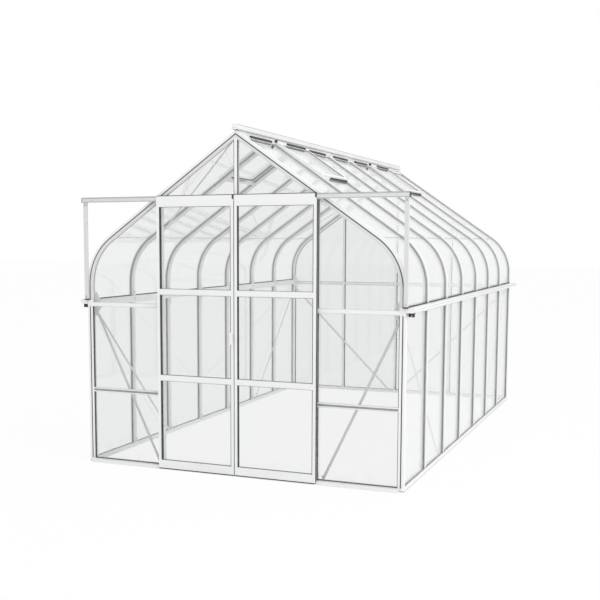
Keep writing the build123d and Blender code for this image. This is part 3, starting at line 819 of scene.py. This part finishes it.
def ridge_seals():
    """Rubber along the ridge bar's wings, and the thin lines in both faces of the ridge cap."""
    form = Form()
    wing = slope_length_to(RIDGE_WING_X)
    wing_strip = 0.003
    for bay in range(BAYS):
        if bay not in VENT_BAYS:
            y0, y1 = bay_span(bay, clearance=0.004)
            slope_block(form, wing - wing_strip, wing, y0, y1, PANE_FACE, PANE_FACE + SEAL)
    for z, line in ((CAP_HIGH - 0.0055, 0.0025), (CAP_LOW + 0.0020, 0.0020)):
        form.block(CAP_HALF - PROUD, CAP_HALF + PROUD, -CAP_END, CAP_END, z, z + line)
    form.mirrored(LEFT_RIGHT)
    form.make("ridge_wing_seals", grey_rubber_and_shade, "black_plastic")


def ridge_cap_screws():
    """A screw in the top of the ridge cap over the middle of each bay."""
    form = Form()
    for bay in range(BAYS):
        form.screw((0, bay_middle(bay), CAP_HIGH), (0, 0, 1), radius=0.0045)
    form.make("ridge_cap_screws", bright_zinc, "white_frame")


def ridge_fixings():
    """Cleats under the ridge at each bar, with their bolts."""
    cleats, bolts = Form(), Form()
    along = slope_length_to(0.095)
    foot, head = along - 0.035, along + 0.055
    thick = 0.0025
    low = -BAR_DEPTH - thick
    for y in BAR_YS:
        slope_block(cleats, foot, head, y - CLEAT_HALF, y + CLEAT_HALF, low, -BAR_DEPTH)
        for reach in (-0.020, 0.010):
            bolts.bolt(slope_point(along + reach, y, low), SLOPE_IN)
    mirror_all((cleats, bolts), LEFT_RIGHT)
    cleats.make("ridge_cleats", white_coat, "white_frame", soft_edge=0.0005)
    bolts.make("ridge_bolts", bright_zinc, "white_frame")


# Roof vents

VENT_FOOT = slope_length_to(VENT_FOOT_X)
VENT_HEAD = slope_length_to(VENT_HEAD_X)


def hinge_rolls(form, middle):
    """The hinge along a vent's head: rolls of the vent and of the ridge, in turn."""
    rolls = 11
    length = 2 * VENT_HALF / rolls
    gap = 0.0012
    chamfer = 0.0006
    for index in range(rolls):
        radius = 0.0042 if index % 2 else 0.0036
        start = middle - VENT_HALF + length * index
        form.turned(slope_point(VENT_HEAD + 0.001, start + gap / 2, VENT_HIGH), BACKWARD,
                    [(radius - chamfer, 0), (radius, chamfer), (radius, length - gap - chamfer),
                     (radius - chamfer, length - gap)], sides=12)


def vent_pane_seals(form, middle):
    """Rubber round a vent's pane, above and below it."""
    low = VENT_FOOT + VENT_RAIL
    high = VENT_HEAD - VENT_RAIL
    y0 = middle - VENT_HALF + VENT_RAIL
    y1 = middle + VENT_HALF - VENT_RAIL
    pane_bottom = VENT_PANE_TOP - GLASS
    for under, over in ((VENT_PANE_TOP, VENT_PANE_TOP + SEAL), (pane_bottom - SEAL, pane_bottom)):
        slope_block(form, low, low + SEAL, y0, y1, under, over)
        slope_block(form, high - SEAL, high, y0, y1, under, over)
        slope_block(form, low, high, y0, y0 + SEAL, under, over)
        slope_block(form, low, high, y1 - SEAL, y1, under, over)


def vent_stay(form, middle):
    """The folded stay behind a vent's foot rail: its bar, its hook and two pegs."""
    bar_top = VENT_FOOT + 0.0315
    bar_thick = 0.003
    bar_deep = 0.012
    bar_half = 0.13
    hook_reach = 0.0135
    hook_half = 0.016
    peg = 0.004
    slope_block(form, bar_top - bar_thick, bar_top, middle - bar_half, middle + bar_half, 0.0, bar_deep)
    slope_block(form, bar_top - hook_reach, bar_top, middle - hook_half, middle + hook_half, -0.0085, -0.006)
    for side in (-0.07, 0.07):
        form.turned(slope_point(bar_top, middle + side, bar_deep / 2), (-SLOPE_COS, 0, SLOPE_SIN),
                    [(peg, 0), (peg, 0.010), (0.003, 0.011)], sides=12)


def vent_foot_shadow_strip(form, middle):
    """A black strip under a vent's foot, from near its middle to its rear bar: painted shadow."""
    below, above = 0.008, 0.002
    y0 = middle - 0.10
    y1 = middle + PITCH / 2 - BAR_HALF
    slope_block(form, VENT_FOOT - below, VENT_FOOT + above, y0, y1, PANE_FACE, VENT_LOW)


def vent_corner_screws(form, middle):
    """Two screws in each corner of a vent's frame."""
    inset = 0.014
    for along in (VENT_FOOT + 0.008, VENT_FOOT + 0.020, VENT_HEAD - 0.008, VENT_HEAD - 0.020):
        for side in (-1, 1):
            form.screw(slope_point(along, middle + side * (VENT_HALF - inset), VENT_HIGH), SLOPE_OUT)


def vent_details():
    """Hinge rolls, pane seals, painted foot shadows, stays and corner screws of the four vents."""
    rolls, seals, strips, metal = Form(), Form(), Form(), Form()
    for bay in VENT_BAYS:
        middle = bay_middle(bay)
        hinge_rolls(rolls, middle)
        vent_pane_seals(seals, middle)
        vent_foot_shadow_strip(strips, middle)
        vent_stay(metal, middle)
        vent_corner_screws(metal, middle)
    mirror_all((rolls, seals, strips, metal), LEFT_RIGHT)
    rolls.make("vent_hinge_rolls", white_coat, "white_frame")
    seals.make("vent_pane_seals", grey_rubber_and_shade, "black_plastic")
    strips.make("vent_foot_shadow_strips", black_plastic, "black_plastic", soft_edge=0.0008)
    metal.make("vent_stays_and_screws", bright_zinc, "white_frame")


# Doors

def leaf_lights():
    """Lower and upper Z of the three lights of a leaf."""
    edges = [LIGHT_LOW]
    for z in MIDDLE_RAILS:
        edges += [z - MIDDLE_RAIL_HALF, z + MIDDLE_RAIL_HALF]
    edges.append(LIGHT_HIGH)
    return list(zip(edges[0::2], edges[1::2]))


def for_both_leaves(form, name, finish, slot):
    """The piece drawn for the right leaf, on that leaf and mirrored on the left one."""
    form.make(f"right_door_{name}", finish, slot, body="right_door")
    form.make(f"left_door_{name}", finish, slot, body="left_door", turn=LEFT_RIGHT)


def leaf_seals():
    """Rubber round the panes of each leaf, and dark strips down its meeting and outer edges that paint the
    shade on those sides.
    """
    stiles, rails = Form(), Form()
    light0 = LEAF_IN + STILE
    light1 = LEAF_OUT - STILE
    width = 0.005
    set_back = 0.002
    rail_set_back = 0.004
    for z0, z1 in leaf_lights():
        for y0, y1 in ((LEAF_FRONT + set_back, LEAF_PANE_FRONT), (LEAF_PANE_BACK, LEAF_BACK - set_back)):
            stiles.block(light0, light0 + width, y0, y1, z0, z1)
            stiles.block(light1 - width, light1, y0, y1, z0, z1)
            rail = (light0 + width, light1 - width, y0 + rail_set_back, y1 - rail_set_back)
            rails.block(*rail, z0, z0 + SEAL)
            rails.block(*rail, z1 - SEAL, z1)
    # Painted shade: thin dark strips down the meeting and outer edges of the leaf.
    meeting_edge_shade = 0.0018
    outer_edge_shade = 0.003
    edge_top = LIGHT_HIGH + 0.034
    edge_back = LEAF_BACK - 0.003
    stiles.block(LEAF_IN - meeting_edge_shade, LEAF_IN, LEAF_FRONT + 0.003, edge_back, LEAF_BOTTOM, edge_top)
    stiles.block(LEAF_OUT, LEAF_OUT + outer_edge_shade, LEAF_FRONT + 0.006, edge_back, LEAF_BOTTOM, edge_top)
    for_both_leaves(stiles, "stile_seals_and_edge_shade", dark_rubber_and_shade, "black_plastic")
    for_both_leaves(rails, "rail_seals", grey_rubber_and_shade, "black_plastic")


def leaf_skirts():
    """The brushes under each leaf's bottom rail, front and back."""
    form = Form()
    thick = 0.004
    set_back = 0.001
    inset = 0.002
    clear_of_guide = 0.0056
    for y0 in (LEAF_FRONT + set_back, LEAF_BACK - set_back - thick):
        form.block(LEAF_IN + inset, LEAF_OUT - inset, y0, y0 + thick, clear_of_guide, LEAF_BOTTOM)
    for_both_leaves(form, "bottom_brush", black_plastic, "black_plastic")


def leaf_screws():
    """Screws through the stiles into every rail, front and back."""
    form = Form()
    bottom = (LEAF_BOTTOM + LIGHT_LOW) / 2
    top = LIGHT_HIGH + 0.018
    for z in (bottom, *MIDDLE_RAILS, top):
        for lift in (-0.011, 0.011):
            for x in (LEAF_IN + STILE / 2, LEAF_OUT - STILE / 2):
                form.screw((x, LEAF_FRONT, z + lift), FORWARD, radius=0.003)
                form.screw((x, LEAF_BACK, z + lift), BACKWARD, radius=0.003)
    for_both_leaves(form, "screws", white_coat, "white_frame")


def rail_ribs():
    """A raised rib along the middle rails, and two along the bottom rail, of each leaf."""
    form = Form()
    from_edge = 0.012
    second_rib = 0.048
    lower, upper = MIDDLE_RAILS
    for z in (lower - from_edge, upper - from_edge, LEAF_BOTTOM + from_edge, LEAF_BOTTOM + second_rib):
        form.rib(LEAF_IN + STILE, LEAF_OUT - STILE, LEAF_FRONT, z, foot_half=0.003, crest_half=0.0015,
                 rise=0.0012)
    for_both_leaves(form, "rail_ribs", white_coat, "white_frame")


def leaf_clips():
    """A black clip at the top right corner of each leaf's fascia."""
    width = 0.011
    for body, x1 in (("right_door", LEAF_OUT), ("left_door", -LEAF_IN)):
        form = Form()
        form.block(x1 - width, x1, LEAF_FRONT - 0.0014, LEAF_FRONT + 0.0012,
                   LIGHT_HIGH + 0.050, LEAF_TOP + 0.0010)
        form.make(f"{body}_top_clip", black_plastic, "black_plastic", soft_edge=0.0006, body=body)


def door_brushes():
    """Black brush strips on the jambs and the header, behind the leaves."""
    form = Form()
    face = FRONT_FACE - 0.0045
    inner, outer = JAMB_X - 0.004, JAMB_X + 0.008
    header_half = JAMB_X - 0.013
    header_low = HEADER_TOP - 0.0348
    strip = 0.003
    form.block(inner, outer, face, FRONT_FACE, SILL_TOP, HEADER_TOP - 0.034)
    form.mirrored(LEFT_RIGHT)
    form.block(-header_half, header_half, face, FRONT_FACE + 0.001, header_low, header_low + strip)
    form.make("door_brushes", black_plastic, "black_plastic")


# Door track and its supports

def track_details():
    """End caps, grey lines along its lips that paint their shading, screws and a weather strip on the track,
    and the feet of its supports.
    """
    low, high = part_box("door_track")
    foot_low, foot_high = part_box("track_support_right")
    caps, lines, screws, weather = Form(), Form(), Form(), Form()
    cap = 0.004
    lap = 0.001
    shoe = 0.0015
    shoe_rise = 0.010
    lip_inset = 0.004
    lip_rise = 0.0035
    weather_thick = 0.004
    weather_rise = 0.0075
    caps.block(high.x, high.x + cap, low.y - lap, high.y, low.z - lap, high.z + lap)
    caps.block(foot_low.x - shoe, foot_high.x + shoe, foot_low.y - shoe, foot_high.y,
               foot_low.z, foot_low.z + shoe_rise)
    for z in (foot_low.z + 0.028, foot_high.z - 0.020):
        screws.bolt(((foot_low.x + foot_high.x) / 2, foot_low.y, z), FORWARD)
    for x in (0.75, 0.98, 1.20):
        screws.screw((x, low.y, (low.z + high.z) / 2), FORWARD)
    mirror_all((caps, screws), LEFT_RIGHT)
    # Painted shade: grey lines along the top and bottom lips and on the top edge of the track.
    for z in (low.z + lip_inset, high.z - lip_inset):
        lines.rib(low.x, high.x, low.y, z, foot_half=0.0014, crest_half=0.0008, rise=0.0008)
    lines.block(low.x, high.x, low.y + lap, low.y + 0.006, high.z - lap, high.z + lip_rise)
    weather.block(-LEAF_OUT, LEAF_OUT, low.y, low.y + weather_thick, high.z - lap, high.z + weather_rise)
    weather.make("track_weather_strip", dark_rubber_and_shade, "black_plastic", soft_edge=0.0006)
    caps.make("track_caps_and_feet", black_plastic, "black_plastic", soft_edge=0.0006)
    lines.make("track_lip_shade_lines", grey_rubber_and_shade, "white_frame")
    screws.make("track_screws", bright_zinc, "white_frame")


# Angles, cleats and bolts

def sill_angles():
    """Angles inside the sill corners, and cleats at the feet of the jambs and mullions."""
    plates, bolts = Form(), Form()
    inner_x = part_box("base_sill_right")[0].x
    inner_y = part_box("base_sill_front")[1].y
    inset = 0.004
    low, high = inset, SILL_TOP - inset
    leg = 0.07
    bolt_z = 0.014
    foot_low, foot_high = SILL_TOP - 0.002, SILL_TOP + 0.045
    plates.block(inner_x - CLEAT, inner_x, inner_y, inner_y + leg, low, high)
    plates.block(inner_x - leg, inner_x, inner_y, inner_y + CLEAT, low, high)
    for reach in (0.025, 0.055):
        bolts.bolt((inner_x - CLEAT, inner_y + reach, bolt_z), (-1, 0, 0))
        bolts.bolt((inner_x - reach, inner_y + CLEAT, bolt_z), BACKWARD)
    mirror_all((plates, bolts), LEFT_RIGHT, FRONT_REAR)
    back = FRONT + BAR_DEPTH
    for x, side in ((JAMB_X, 1), (-JAMB_X, 1), (JAMB_X, -1), (-JAMB_X, -1), (0, -1)):
        y0, y1 = sorted((side * back, side * (back + CLEAT)))
        plates.block(x - CLEAT_HALF, x + CLEAT_HALF, y0, y1, foot_low, foot_high)
        for z in (0.016, 0.034):
            bolts.bolt((x, side * (back + CLEAT), SILL_TOP + z), (0, side, 0))
    plates.make("sill_angles", white_coat, "white_frame", soft_edge=0.0005)
    bolts.make("sill_bolts", bright_zinc, "white_frame")


def bar_feet():
    """Black screw caps at the foot of each side bar, and cleats and bolts on its inner face."""
    dots, cleats, bolts = Form(), Form(), Form()
    tuck = 0.001
    length = 0.050
    inset = 0.016
    cleat_face = POST_INNER - CLEAT
    spans = ((SILL_TOP - tuck, SILL_TOP + length, inset), (BEAM_BOTTOM - length, BEAM_BOTTOM + tuck, inset),
             (BEAM_TOP - 0.040, BEAM_TOP + length, 0.020))
    for y in BAR_YS:
        dots.turned((OUTER, y, SILL_TOP + 0.012), (1, 0, 0),
                    [(0.0060, -0.0005), (0.0060, 0.0014), (0.0046, 0.0026), (0.0018, 0.0032)], sides=14)
        for z0, z1, first in spans:
            cleats.block(cleat_face, POST_INNER, y - CLEAT_HALF, y + CLEAT_HALF, z0, z1)
            for z in (z0 + first, z1 - inset):
                bolts.bolt((cleat_face, y, z), (-1, 0, 0))
    mirror_all((dots, cleats, bolts), LEFT_RIGHT)
    dots.make("bar_foot_caps", black_plastic, "black_plastic")
    cleats.make("bar_cleats", white_coat, "white_frame", soft_edge=0.0004)
    bolts.make("bar_bolts", bright_zinc, "white_frame")


def gusset_bolts():
    """Bolts through the gusset plates and the ends of the gable and side braces."""
    form = Form()
    plate_face = FRONT + BAR_DEPTH + 0.0025
    brace_face = plate_face + 0.003
    low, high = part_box("gusset_plates")
    for z in (low.z + 0.016, low.z + 0.040, high.z - 0.040, high.z - 0.016):
        form.bolt((POST_INNER + 0.005, plate_face, z), BACKWARD, across=0.007)
    for inset in (0.036, 0.054):
        form.bolt((high.x - inset, plate_face, (low.z + high.z) / 2), BACKWARD, across=0.009)
    form.mirrored(LEFT_RIGHT, FRONT_REAR)
    foot_z = SILL_TOP + 0.016
    front_ends = ((POST_INNER - 0.012, EAVE_RAIL_Z - 0.066), (JAMB_X + 0.038, foot_z))
    rear_ends = ((POST_INNER - 0.016, EAVE_RAIL_Z - 0.068), (0.052, foot_z))
    for side in (-1, 1):
        for x, z in front_ends:
            form.bolt((side * x, brace_face, z), BACKWARD)
        for x, z in rear_ends:
            form.bolt((side * x, -brace_face, z), FORWARD)
    form.make("gusset_and_brace_bolts", bright_zinc, "white_frame")


finish_cad_pieces()
outer_seals_and_flank_shade()
inner_bar_seals()
pane_foot_seals()
gutter_line_seals_and_shade()
pane_joint_strips()
bar_splices()
gable_seals()
gable_edge_shade_lines()
transom_lines()
sill_foot_shade_lines()
beam_end_plates()
gutter_details()
outlets()
ridge_shadow_strips_and_stops()
ridge_seals()
ridge_cap_screws()
ridge_fixings()
vent_details()
leaf_seals()
leaf_skirts()
leaf_screws()
rail_ribs()
leaf_clips()
door_brushes()
track_details()
sill_angles()
bar_feet()
gusset_bolts()


# Floor, light and camera

def pale_floor():
    """A wide floor that is seen white, and still takes the part's shadow."""
    reach = 60.0
    seen_white = 0.90
    mesh = bpy.data.meshes.new("floor")
    mesh.from_pydata([(-reach, -reach, 0), (reach, -reach, 0), (reach, reach, 0), (-reach, reach, 0)],
                     [], [(0, 1, 2, 3)])
    floor = bpy.data.objects.new("floor", mesh)
    floor.location.z = -0.0005
    bpy.context.scene.collection.objects.link(floor)
    material, wire = new_material("pale_floor")
    seen = wire.node("ShaderNodeLightPath", out=0) | wire.node("ShaderNodeLightPath", out=3)
    matt = wire.node("ShaderNodeBsdfDiffuse", None, {"Color": rgba(0.92, 0.92, 0.92)})
    white = wire.node("ShaderNodeEmission", None, {"Color": rgba(1, 1, 1), "Strength": 1.0})
    show(wire, (seen * seen_white).over(matt, white))
    mesh.materials.append(material)


def white_surround():
    """A world that is white to the camera, mirrors and glass, and a little less to matt surfaces."""
    light_on_matt = 0.93
    world = bpy.data.worlds.new("white_surround")
    world.use_nodes = True
    world.node_tree.nodes.clear()
    wire = Wire(world.node_tree)
    camera_ray, glossy_ray, passing_ray = [wire.node("ShaderNodeLightPath", out=index) for index in (0, 3, 6)]
    plain = camera_ray | glossy_ray | passing_ray
    strength = plain + (1 - plain) * light_on_matt
    light = wire.node("ShaderNodeBackground", None, {"Color": rgba(1, 1, 1), "Strength": strength})
    wire.node("ShaderNodeOutputWorld", None, {"Surface": light})
    bpy.context.scene.world = world


def soft_lamp():
    """One large round lamp, high on the right, aimed at the middle of the part."""
    data = bpy.data.lights.new("soft_key", "AREA")
    data.shape = "DISK"
    data.size = 5.0
    data.energy = 300.0
    lamp = bpy.data.objects.new("soft_key", data)
    lamp.location = (8.0, -4.5, 7.5)
    aim = Vector((0, 0, 1.0)) - lamp.location
    lamp.rotation_euler = aim.to_track_quat("-Z", "Y").to_euler()
    bpy.context.scene.collection.objects.link(lamp)


def photo_camera():
    """The photograph's view: its place, turn, lens and the shift of its frame."""
    image_side = 600
    focal_px = 975.25
    middle_px = (260.6, 344.0)
    before_gable = 6.4774
    tilt_down = 6.03
    turn_left = 23.22
    data = bpy.data.cameras.new("photo_camera")
    data.sensor_width = 36.0
    data.lens = focal_px / image_side * data.sensor_width
    data.shift_x = (image_side / 2 - middle_px[0]) / image_side
    data.shift_y = (middle_px[1] - image_side / 2) / image_side
    data.clip_end = 200.0
    camera = bpy.data.objects.new("photo_camera", data)
    camera.location = (2.9678, FRONT - before_gable, 1.7342)
    camera.rotation_euler = (math.radians(90 - tilt_down), 0, math.radians(turn_left))
    bpy.context.scene.collection.objects.link(camera)
    bpy.context.scene.camera = camera


pale_floor()
white_surround()
soft_lamp()
photo_camera()
bpy.context.scene.view_settings.view_transform = "Standard"
bpy.context.scene.cycles.transparent_max_bounces = 48
